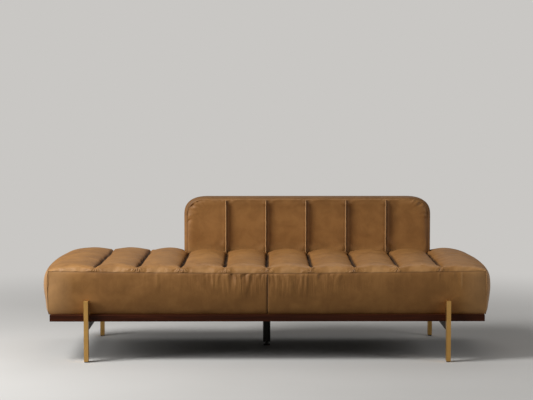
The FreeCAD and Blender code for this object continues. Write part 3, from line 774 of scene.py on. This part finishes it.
FAN_BACK, FAN_PLEATS, FAN_HEIGHT, FAN_CENTRE = 0.044, 24.0, 0.0015, 1.7
FAN_INNER, FAN_OUTER, FAN_ANGLES, FAN_SEAM = (0.004, 0.014), (0.03, 0.07), (0.6, 1.2), 0.012
LAST_PHASE = 6.28
chance = np.random.default_rng(11)
away = FAN_BACK - open_in
for g in range(1, CHANNELS):
    dx = x - lines[g]
    angle = np.arctan2(dx, np.maximum(away, 1e-4))
    reach = np.hypot(dx, away)
    strength = smooth(reach, *FAN_INNER) * (1 - smooth(reach, *FAN_OUTER)) * (away > 0)
    strength *= 1 - smooth(np.abs(angle), *FAN_ANGLES)
    pleats = np.cos(angle * FAN_PLEATS * chance.uniform(0.85, 1.15) + chance.uniform(0, LAST_PHASE))
    tall = FAN_HEIGHT * chance.uniform(0.6, 1.2) * (FAN_CENTRE if g == CHANNELS // 2 else 1.0)
    depth += tall * pleats * strength * smooth(open_in, 0, FAN_SEAM) * keep_top
GATHER_HEIGHT, GATHER_SIZE, GATHER_STRETCH, GATHER_REACH = 0.0009, 0.012, 0.15, (0.012, 0.05)
gather = ripple(np.stack([x, y * GATHER_STRETCH, z * GATHER_STRETCH], -1), GATHER_SIZE, 3)
gather *= 1 - smooth(open_in, *GATHER_REACH)
gather *= 0.35 + 0.65 * (1 - smooth(beside, 0.02, 0.08))
depth += GATHER_HEIGHT * gather * keep_top * smooth(open_in, 0, 0.006)
TOP_UNEVEN, TOP_SIZE = 0.0011, 0.12
uneven = TOP_UNEVEN * ripple(at, TOP_SIZE, 5) * on_top * smooth(open_in, 0, 0.03) * (1 - behind)
print("fans of pleats at", CHANNELS - 1, "grooves")

# %% Drag folds on the front
on_front = read(seat.data, "front")
drop = read(seat.data, "drop")
FOLDS, CENTRAL_SHARE, CENTRAL_SPREAD, OUTER_MOST = 230, 0.66, 0.2, 0.98
SHORT_FOLD, LONG_FOLD, FOLD_WIDTH = (0.025, 0.05), 0.1, (0.0028, 0.008)
FOLD_HEIGHT, FULL_WITHIN, WEAK_OUTSIDE = 0.0013, 0.36, 0.4
chance = np.random.default_rng(47)
for _ in range(FOLDS):
    central = chance.random() < CENTRAL_SHARE
    middle = chance.normal(0, CENTRAL_SPREAD) if central else chance.uniform(-OUTER_MOST, OUTER_MOST)
    groove_x = np.round(middle / PITCH) * PITCH
    lean = (middle - groove_x) * chance.uniform(-0.15, 0.35)
    length = chance.uniform(*SHORT_FOLD) + LONG_FOLD * chance.random() ** 2
    width = chance.uniform(*FOLD_WIDTH)
    height = chance.normal(0, FOLD_HEIGHT) * (1.0 if abs(middle) < FULL_WITHIN else WEAK_OUTSIDE)
    line = (x - middle - lean * drop / length) / (width * (1 + drop / length))
    held = on_front * smooth(drop, 0.0, 0.008) * (1 - smooth(drop, length * 0.2, length))
    depth += height * np.exp(-line * line) * held
STREAK_HEIGHT, STREAK_SIZE, STREAK_SPREAD = 0.0009, 0.017, 0.34
streaks = ripple(np.stack([x, y * 0, z * 0.1], -1), STREAK_SIZE, 13) * np.exp(-((x / STREAK_SPREAD) ** 2))
depth += STREAK_HEIGHT * streaks * on_front * smooth(drop, 0.004, 0.03) * (1 - smooth(drop, 0.05, 0.13))
CENTRE_SEAM, CENTRE_HALF = 0.0045, 0.0026
centre = np.exp(-np.abs(x) / CENTRE_HALF)
depth -= CENTRE_SEAM * centre * on_front * smooth(drop, 0.0, 0.012)
on_sides = on_front + read(seat.data, "end") + read(seat.data, "rear")
SIDE_UNEVEN, SIDE_SIZE = 0.0012, 0.16
between_seams = smooth(drop, 0, 0.04) * smooth(drop, SIDE_HEIGHT, SIDE_HEIGHT - 0.03)
uneven += SIDE_UNEVEN * ripple(at, SIDE_SIZE, 7) * on_sides * between_seams
push(seat.data, depth + uneven)
print("drag folds:", FOLDS)

# %% Room for the legs
LEG_FACE = -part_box("leg_front_left")[1].y
LEG_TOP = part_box("leg_front_left")[1].z
LEG_MIDDLE = sum(corner.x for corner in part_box("leg_front_right")) / 2
LEG_NEAR, LEG_FAR = 0.012, 0.14
at = spots(seat.data)
leg_gap = np.hypot(np.abs(at[:, 0]) - LEG_MIDDLE, (at[:, 2] - LEG_TOP).clip(0))
by_leg = 1 - smooth(leg_gap, LEG_NEAR, LEG_FAR)
limit = LEG_FACE - SKIN_GAP
pressed = np.sign(at[:, 1]) * np.minimum(np.abs(at[:, 1]), limit)
at[:, 1] += (pressed - at[:, 1]) * by_leg
seat.data.vertices.foreach_set("co", at.ravel())
print("by the legs the sides stay within", round(limit, 4))

# %% Marks for the seat's leather
GROOVE_SHADE_NEAR, GROOVE_SHADE_FAR, CORNER_HALF, SEAM_HALF, MOST_PROUD = 0.002, 0.008, 0.002, 0.0016, 1.4
# Painted shade: the colour darkens in each groove's slot, along the front's centre seam, at the corner seams
# and beside the seams round the top.
groove_shade = (1 - smooth(beside / taper, GROOVE_SHADE_NEAR, GROOVE_SHADE_FAR)) * slot_fade * keep_top + centre * on_front
corner_gap = np.where(on_front > 0.5, END - np.abs(x), SEAM_FRONT - PLAN_BOW - np.abs(y))
corner_shade = np.exp(-corner_gap.clip(0) / CORNER_HALF) * (on_front + read(seat.data, "end")) * 0.08
seam_shade = np.exp(-np.where(on_top > 0.5, open_in, drop) / SEAM_HALF)
store(seat.data, "hollow", np.clip(np.maximum(groove_shade, seam_shade * 0.7) + corner_shade, 0, 1))
drawn_down = (np.exp(-((x / 0.32) ** 2)) + 0.2) * on_front
drawn_down *= smooth(drop, 0.0, 0.01) * (1 - smooth(drop, 0.05, 0.14))
drawn_in = (0.35 + 0.65 * (1 - smooth(beside, 0.01, 0.06))) * keep_top
drawn_in *= 1 - smooth(open_in, *GATHER_REACH)
store(seat.data, "pull", drawn_down + drawn_in * smooth(open_in, 0, 0.004) * 0.7)
# Painted light: the sides near the ends and the front roll are painted paler, and raised folds get a painted
# highlight; the crowns are paler where the hide is stretched.
painted_end_light = MOST_PROUD * smooth(np.abs(x), 0.74, 1.0) * (1 - on_top)
roll_highlight = (1 - smooth(open_in, 0.02, 0.07)) * on_top * 0.5
crests = (1 - shape) * on_top * 0.8 + smooth(depth, 0.0003, 0.0012) * 0.5
store(seat.data, "rise", np.clip(crests + painted_end_light + roll_highlight, 0, MOST_PROUD))
seat.data.materials.append(leather)
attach(seat, "daybed")
SIDE_NODES = ["front_panel_left", "front_panel_right", "rear_panel", "end_panel_left", "end_panel_right"]
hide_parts(*[f"seat_channel_{n}" for n in range(1, CHANNELS + 1)], *SIDE_NODES)
low, high = spots(seat.data).min(0), spots(seat.data).max(0)
print("seat spans", low.round(3), "to", high.round(3))

# %% [markdown]
# ## The back
# The back is a slab with a rounded top. Its front is sewn into six upright channels that continue the
# seat's, and a band runs up one side, over the top and down the other. The front grid's columns crowd
# together at the two upper corners, so that their arcs come out round.

# %% Back sizes
BAND_SIDE, BAND_TOP = 0.018, 0.0095
ARCH_WIDE, ARCH_HIGH, ARCH_POWER = 0.115, 0.078, 2.5
FRONT_LEFT, FRONT_RIGHT = back_low.x + BAND_SIDE + BACK_EASE, back_high.x - BAND_SIDE + BACK_EASE
BACK_LINES = SEAMS_X[4:9]
ARCH_TOP = back_high.z - BAND_TOP
FRONT_SEAM_Y = back_low.y
REAR_SWELL, REAR_EDGE = 0.003, 0.012
REAR_SEAM_Y = back_high.y - REAR_SWELL
FLOOR_LIFT = 0.001
BACK_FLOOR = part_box("back_core_foam")[0].z + FLOOR_LIFT
BACK_CHANNELS = 6
BACK_CAP = 0.004
PAD_SHORT, PAD_EDGE = 0.0008, 0.03
PAD_SWELL = FRONT_SEAM_Y - BACK_FACE - PAD_SHORT
ARC_COLUMNS, EDGE_COLUMNS, EDGE_CROWD = 13, 15, 1.3
arc = ARCH_WIDE * (1 - np.cos(np.linspace(0, math.pi / 2, ARC_COLUMNS)))


def spread_columns(start, stop):
    """Columns from an arc's end to the nearest groove, closer together near the groove."""
    return stop - (stop - start) * (1 - np.linspace(0, 1, EDGE_COLUMNS)[1:]) ** EDGE_CROWD


left_x = np.concatenate([FRONT_LEFT + arc, spread_columns(FRONT_LEFT + arc[-1], BACK_LINES[0])])
right_x = np.concatenate([FRONT_RIGHT - arc, spread_columns(FRONT_RIGHT - arc[-1], BACK_LINES[-1])])
middle_x = [BACK_LINES[n] + PITCH * (across[1:] + 1) / 2 for n in range(BACK_CHANNELS - 2)]
back_x = np.concatenate([left_x, *middle_x, right_x[::-1][1:]])
print("back grid columns", len(back_x))

# %% Back panels
BACK_ROWS, BACK_CROWD = 34, 1.5
up = 1 - (1 - np.linspace(0, 1, BACK_ROWS)) ** BACK_CROWD
corner_run = np.minimum(back_x - FRONT_LEFT, FRONT_RIGHT - back_x).clip(0, ARCH_WIDE) / ARCH_WIDE
arch_drop = 1 - (1 - (1 - corner_run) ** ARCH_POWER) ** (1 / ARCH_POWER)
arch_z = ARCH_TOP - ARCH_HIGH * arch_drop
back_z = BACK_FLOOR + (arch_z - BACK_FLOOR)[None, :] * up[:, None]
back_xx = np.broadcast_to(back_x, back_z.shape)


def from_edge(x, z):
    """Distance inside the arch outline."""
    side = np.minimum(x - FRONT_LEFT, FRONT_RIGHT - x)
    over = ARCH_TOP - z
    in_corner = (side < ARCH_WIDE) & (over < ARCH_HIGH)
    sideways = (1 - side / ARCH_WIDE).clip(0) ** ARCH_POWER
    upwards = (1 - over / ARCH_HIGH).clip(0) ** ARCH_POWER
    radial = ARCH_HIGH * (1 - (sideways + upwards) ** (1 / ARCH_POWER))
    return np.where(in_corner, radial, np.minimum(side, over)).clip(0)


def rounded(inside, edge):
    """A quarter round from 0 at the outline to 1 where the edge ends."""
    return np.sqrt(1 - (1 - (inside / edge).clip(0, 1)) ** 2)


inside = from_edge(back_xx, back_z)
front_y = FRONT_SEAM_Y - PAD_SWELL * rounded(inside, PAD_EDGE)
rear_y = REAR_SEAM_Y + REAR_SWELL * rounded(inside, REAR_EDGE)
back_front = np.stack([back_xx, front_y, back_z], axis=-1)
back_rear = np.stack([back_xx, rear_y, back_z], axis=-1)
shell = Cover()
face_sides = shell.panel(back_front, -1, "left right high", face=1.0)
rear_sides = shell.panel(back_rear, 1, "left right high", reverse=1.0)
print("back panels:", len(shell.points), "points")

# %% Band round the back
BAND_ROWS, BAND_FLAT, BAND_ROUND = 15, 4.5, 0.45
path = np.concatenate([back_front[:-1, 0], back_front[-1, :], back_front[-2::-1, -1]])
flat_path = path[:, [0, 2]]
ahead = np.gradient(flat_path, axis=0)
outward_way = np.stack([-ahead[:, 1], ahead[:, 0]], -1)
outward_way /= np.linalg.norm(outward_way, axis=1)[:, None]
share = (1 - np.cos(np.linspace(0, math.pi, BAND_ROWS))) / 2
stand = (1 - np.abs(2 * share - 1) ** BAND_FLAT) ** BAND_ROUND
thick = BAND_TOP + (BAND_SIDE - BAND_TOP) * np.abs(outward_way[:, 0])
band = np.zeros((BAND_ROWS, len(path), 3))
band[:, :, 0] = flat_path[None, :, 0] + stand[:, None] * (thick * outward_way[:, 0])[None, :]
band[:, :, 2] = flat_path[None, :, 1] + stand[:, None] * (thick * outward_way[:, 1])[None, :]
band[:, :, 2] = np.where(flat_path[None, :, 1] <= BACK_FLOOR + 1e-6, BACK_FLOOR, band[:, :, 2])
band[:, :, 1] = FRONT_SEAM_Y + (REAR_SEAM_Y - FRONT_SEAM_Y) * share[:, None]
band_sides = shell.panel(band, -1, "", band=1.0)
face_low, rear_low = face_sides["low"], rear_sides["low"]
for c in range(1, len(back_x) - 2):
    shell.face((rear_low[c], rear_low[c + 1], face_low[c + 1], face_low[c]))
shell.face([*band_sides["left"], rear_low[1], face_low[1]])
shell.face([*band_sides["right"], rear_low[-2], face_low[-2]][::-1])

# %% Stuff the back
HELD_BELOW = BACK_FLOOR + 0.05
rough_back = rough_cover(shell, "back")
x, y, z = spots(rough_back.data).T
on_face = read(rough_back.data, "face") > 0
on_line = np.abs(x - BACK_LINES[:, None]).min(0) < SEWN_HALF
held = on_seams(shell) | on_line | (z < HELD_BELOW) | ~on_face
inflate(rough_back, held, BACK_CAP)
back = refine(rough_back, "back_cover")
print("back:", len(back.data.vertices), "points")

# %% [markdown]
# ## Folds of the back
# Between two channels the leather of the left one stands up in a narrow, rounded lip, and the right one
# starts from under it: that gives the bright edge and the dark line beside it, which are also painted
# into the colour as a highlight on the lip and a shade along the line. At the two upper corners the
# leather is eased round the arc, which leaves short gathers along the seam.

# %% Lips and lines
LIP, LIP_AWAY, LIP_HALF = 0.0034, 0.0056, 0.0037
LINE, LINE_LEFT, LINE_RIGHT = 0.0150, 0.0020, 0.0034
LINE_SHADE_LEFT, LINE_SHADE_RIGHT = 0.003, 0.0034
CHANNEL_SWELL, CHANNEL_POWER = 0.0028, 2.2
at = spots(back.data)
x, y, z = at.T
on_face = read(back.data, "face")
inside = from_edge(x, z)
fade = smooth(inside, 0.003, 0.015)
depth = np.zeros(len(at))
line_shade = np.zeros(len(at))
lip_highlight = np.zeros(len(at))


def beside_line(dx, left, right):
    """1 on a sewn line, fading to its left and right at two rates."""
    return np.where(dx < 0, np.exp(dx / left), np.exp(-dx / right))


for line_x in BACK_LINES:
    dx = x - line_x
    lip = LIP * np.exp(-(((dx + LIP_AWAY) / LIP_HALF) ** 2))
    depth += (lip - LINE * beside_line(dx, LINE_LEFT, LINE_RIGHT)) * fade * on_face
    # Painted highlight on each lip and painted shade along each sewn line.
    lip_highlight = np.maximum(lip_highlight, lip / LIP * fade * on_face)
    line_shade = np.maximum(line_shade, beside_line(dx, LINE_SHADE_LEFT, LINE_SHADE_RIGHT) * fade * on_face)
span = (x - BACK_LINES[0]) / PITCH
arch = 1 - np.abs((span - np.floor(span)) * 2 - 1) ** CHANNEL_POWER
depth += CHANNEL_SWELL * arch * on_face * smooth(inside, 0.0, 0.06)
print("lips and lines:", len(BACK_LINES))

# %% Gathers at the upper corners
GATHERS, GATHER_TALL, GATHER_SPREAD = 36, 0.0036, 0.09
GATHER_ANGLES, GATHER_HALVES, GATHER_LENGTHS = (-0.35, 1.5), (0.035, 0.085), (0.012, 0.05)
corner = np.exp(-((np.minimum(x - FRONT_LEFT, FRONT_RIGHT - x) / GATHER_SPREAD) ** 2)) * smooth(z, 0.56, 0.66)
middle_of_back = (FRONT_LEFT + FRONT_RIGHT) / 2
over_x = np.abs(x - middle_of_back) - (FRONT_RIGHT - FRONT_LEFT) / 2 + ARCH_WIDE
along = np.arctan2(z - (ARCH_TOP - ARCH_HIGH), over_x)
chance = np.random.default_rng(31)
for _ in range(GATHERS):
    where = chance.uniform(*GATHER_ANGLES)
    side = chance.choice([-1, 1])
    half = chance.uniform(*GATHER_HALVES)
    reach = chance.uniform(*GATHER_LENGTHS)
    ridge = np.exp(-(((along - where) / half) ** 2)) * (side * (x - middle_of_back) > 0)
    ridge *= smooth(inside, 0, 0.006) * (1 - smooth(inside, reach * 0.3, reach))
    depth += chance.normal(0, GATHER_TALL) * ridge * corner * on_face
BACK_UNEVEN, BACK_SIZE = 0.0013, 0.13
depth += BACK_UNEVEN * ripple(at * [1, 1, 0.6], BACK_SIZE, 9) * smooth(inside, 0, 0.03)
push(back.data, depth)
print("corner gathers:", GATHERS)

# %% Marks for the back's leather
BACK_SEAM_HALF = 0.0022
# Painted shade: darker along each sewn line, beside the seams, and over the band and the top of the face.
near_top = smooth(z, ARCH_TOP - 0.04, ARCH_TOP - 0.006)
seam_shade = np.exp(-inside / BACK_SEAM_HALF) * on_face * (1 - 0.7 * near_top)
top_shade = (read(back.data, "band") * 0.42 + on_face * 0.16 * np.exp(-inside / 0.03)) * smooth(z, 0.6, 0.7)
store(back.data, "hollow", np.clip(np.maximum(line_shade, seam_shade * 0.4) + top_shade, 0, 1))
# Painted highlight on the lips; the crowns are paler where the hide is stretched.
store(back.data, "rise", np.clip(lip_highlight * 1.8 + arch * on_face * 0.2, 0, 1.8))
back.data.materials.append(leather)
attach(back, "daybed")
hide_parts(*[f"back_channel_{n}" for n in range(1, BACK_CHANNELS + 1)], "back_band", "back_rear_panel")
low, high = spots(back.data).min(0), spots(back.data).max(0)
print("back spans", low.round(3), "to", high.round(3))

# %% [markdown]
# ## Finishes of the hard parts
# Walnut is dark and close-grained, its figure stretched along each rail. The legs are brushed brass that
# has dulled a little; the stretchers are steel coloured the dark brown of that brass in shade, a painted
# shade, and the centre leg is dark painted steel; glides and pads are nylon. The parts that the covers
# hide get their own plain finishes too, because the part may be taken apart.


# %% Walnut and hardwood
def stretch(along, slow, fast):
    """Scales of a noise that is drawn out along one axis."""
    return tuple(slow if axis == along else fast for axis in "xyz")


def timber(name, along, dark, mid, pale, gloss):
    """Wood whose figure runs along one axis."""
    wood = Finish(name, Specular_IOR_Level=0.1)
    where = wood.place()
    fibres = wood.noise(wood.stretched(where, stretch(along, 2.2, 60.0)), 1.0, 6.0, 0.6, 0.6)
    pores = wood.noise(wood.stretched(where, stretch(along, 9.0, 900.0)), 1.0, 2.0)
    drift = wood.noise(where, 5.0, 2.0)
    stops = [(0.3, dark), (0.52, mid), (0.72, pale)]
    figure = wood.node("ShaderNodeValToRGB", {"stops": stops}, {0: fibres})
    tint = wood.mix((0.62 - pores).clamp() * 0.8, figure, dark)
    tint = wood.mix(drift * 0.35, tint, mid)
    relief = fibres + pores * 0.6
    return wood.wear(tint, gloss + fibres * 0.12, height=relief, distance=0.0004, strength=0.3)


WALNUT = (srgb(34, 14, 8), srgb(66, 32, 18), srgb(94, 48, 27))
BEECH = (srgb(150, 112, 74), srgb(184, 146, 102), srgb(206, 172, 128))
walnut_long = timber("walnut_long", "x", *WALNUT, 0.32)
walnut_short = timber("walnut_short", "y", *WALNUT, 0.32)
beech_long = timber("beech_long", "x", *BEECH, 0.5)
beech_cross = timber("beech_cross", "y", *BEECH, 0.5)
beech_upright = timber("beech_upright", "z", *BEECH, 0.5)


# %% Metals
def metal(name, brush, dark, pale, gloss):
    """Bare or plated metal with fine brush lines along one axis."""
    bare = Finish(name, Metallic=1.0)
    where = bare.place()
    lines = bare.noise(bare.stretched(where, stretch(brush, 4.0, 700.0)), 1.0, 3.0)
    haze = bare.noise(where, 22.0, 4.0, 0.6)
    tint = bare.mix((haze * 0.7 + lines * 0.4 - 0.1).clamp(), dark, pale)
    return bare.wear(tint, gloss + haze * 0.16 + lines * 0.1, height=lines, distance=0.00015, strength=0.25)


brass = metal("brushed_brass", "z", srgb(182, 138, 74), srgb(222, 178, 108), 0.32)
zinc = metal("zinc_plate", "z", srgb(150, 152, 150), srgb(190, 190, 186), 0.3)


# %% Paint, nylon and cloths
def coated(name, dark, pale, gloss, grain, depth):
    """An even coat with a little unevenness of its own."""
    coat = Finish(name, Specular_IOR_Level=0.25)
    where = coat.place()
    skin = coat.noise(where, grain, 3.0)
    patchy = coat.noise(where, 18.0, 3.0)
    tint = coat.mix(patchy, dark, pale)
    return coat.wear(tint, gloss + patchy * 0.1, height=skin, distance=depth, strength=0.3)


def woven(name, dark, pale, threads, depth):
    """Cloth: two crossed waves of threads."""
    cloth = Finish(name, Roughness=0.9)
    where = cloth.place()
    sockets = {"Vector": where, "Scale": threads}
    warp = cloth.node("ShaderNodeTexWave", {"bands_direction": "X"}, sockets, out="Fac")
    weft = cloth.node("ShaderNodeTexWave", {"bands_direction": "Y"}, sockets, out="Fac")
    weave = warp * 0.5 + weft * 0.5
    fuzz = cloth.noise(where, 300.0, 2.0)
    tint = cloth.mix((weave * 0.7 + fuzz * 0.3).clamp(), dark, pale)
    return cloth.wear(tint, height=weave + fuzz * 0.4, distance=depth, strength=0.4)


dark_steel = coated("dark_steel", srgb(44, 41, 38), srgb(56, 52, 48), 0.45, 400.0, 0.0001)
# Painted shade: the stretchers' colour is the legs' brass as it looks in shade.
brass_in_shade = coated("brass_in_shade", srgb(58, 44, 30), srgb(74, 58, 42), 0.5, 400.0, 0.0001)
nylon = coated("black_nylon", srgb(24, 24, 24), srgb(36, 36, 36), 0.55, 900.0, 0.0001)
foam = coated("seat_foam", srgb(214, 200, 160), srgb(230, 218, 182), 0.9, 500.0, 0.0006)
webbing = woven("elastic_webbing", srgb(52, 46, 40), srgb(96, 84, 70), 110.0, 0.0004)
dust_cloth = woven("dust_cloth", srgb(18, 18, 18), srgb(34, 33, 32), 260.0, 0.0002)

# %% Give every part its finish
GIVEN = {
    walnut_long: ["rail_front", "rail_rear"],
    walnut_short: ["rail_end_left", "rail_end_right"],
    beech_long: ["frame_beam_front", "frame_beam_rear", "back_top_rail", "back_bottom_rail"],
    beech_cross: ["frame_beam_left", "frame_beam_right", "frame_cross_beams"],
    beech_upright: ["corner_blocks", "back_posts"],
    brass: ["leg_front_left", "leg_front_right", "leg_rear_left", "leg_rear_right"],
    zinc: ["post_bolts", "leg_bolts", "plate_screws", "centre_leg_insert"],
    brass_in_shade: ["stretcher_left", "stretcher_right"],
    dark_steel: ["centre_leg_plate", "centre_leg_tube", "leveller_stem"],
    nylon: ["leg_glides", "leveller_pad"],
    foam: ["seat_core_foam", "back_core_foam"],
    webbing: ["webbing_straps"],
    dust_cloth: ["dust_cover"],
}
LEATHER_NODES = [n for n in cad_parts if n.startswith(("seat_channel", "back_channel"))]
GIVEN[leather] = LEATHER_NODES + SIDE_NODES + ["back_band", "back_rear_panel"]
for material, names in GIVEN.items():
    for name in names:
        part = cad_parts[name]
        part.data.materials.clear()
        part.data.materials.append(material)
unfinished = set(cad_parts) - {name for names in GIVEN.values() for name in names}
print("parts without a finish:", sorted(unfinished))
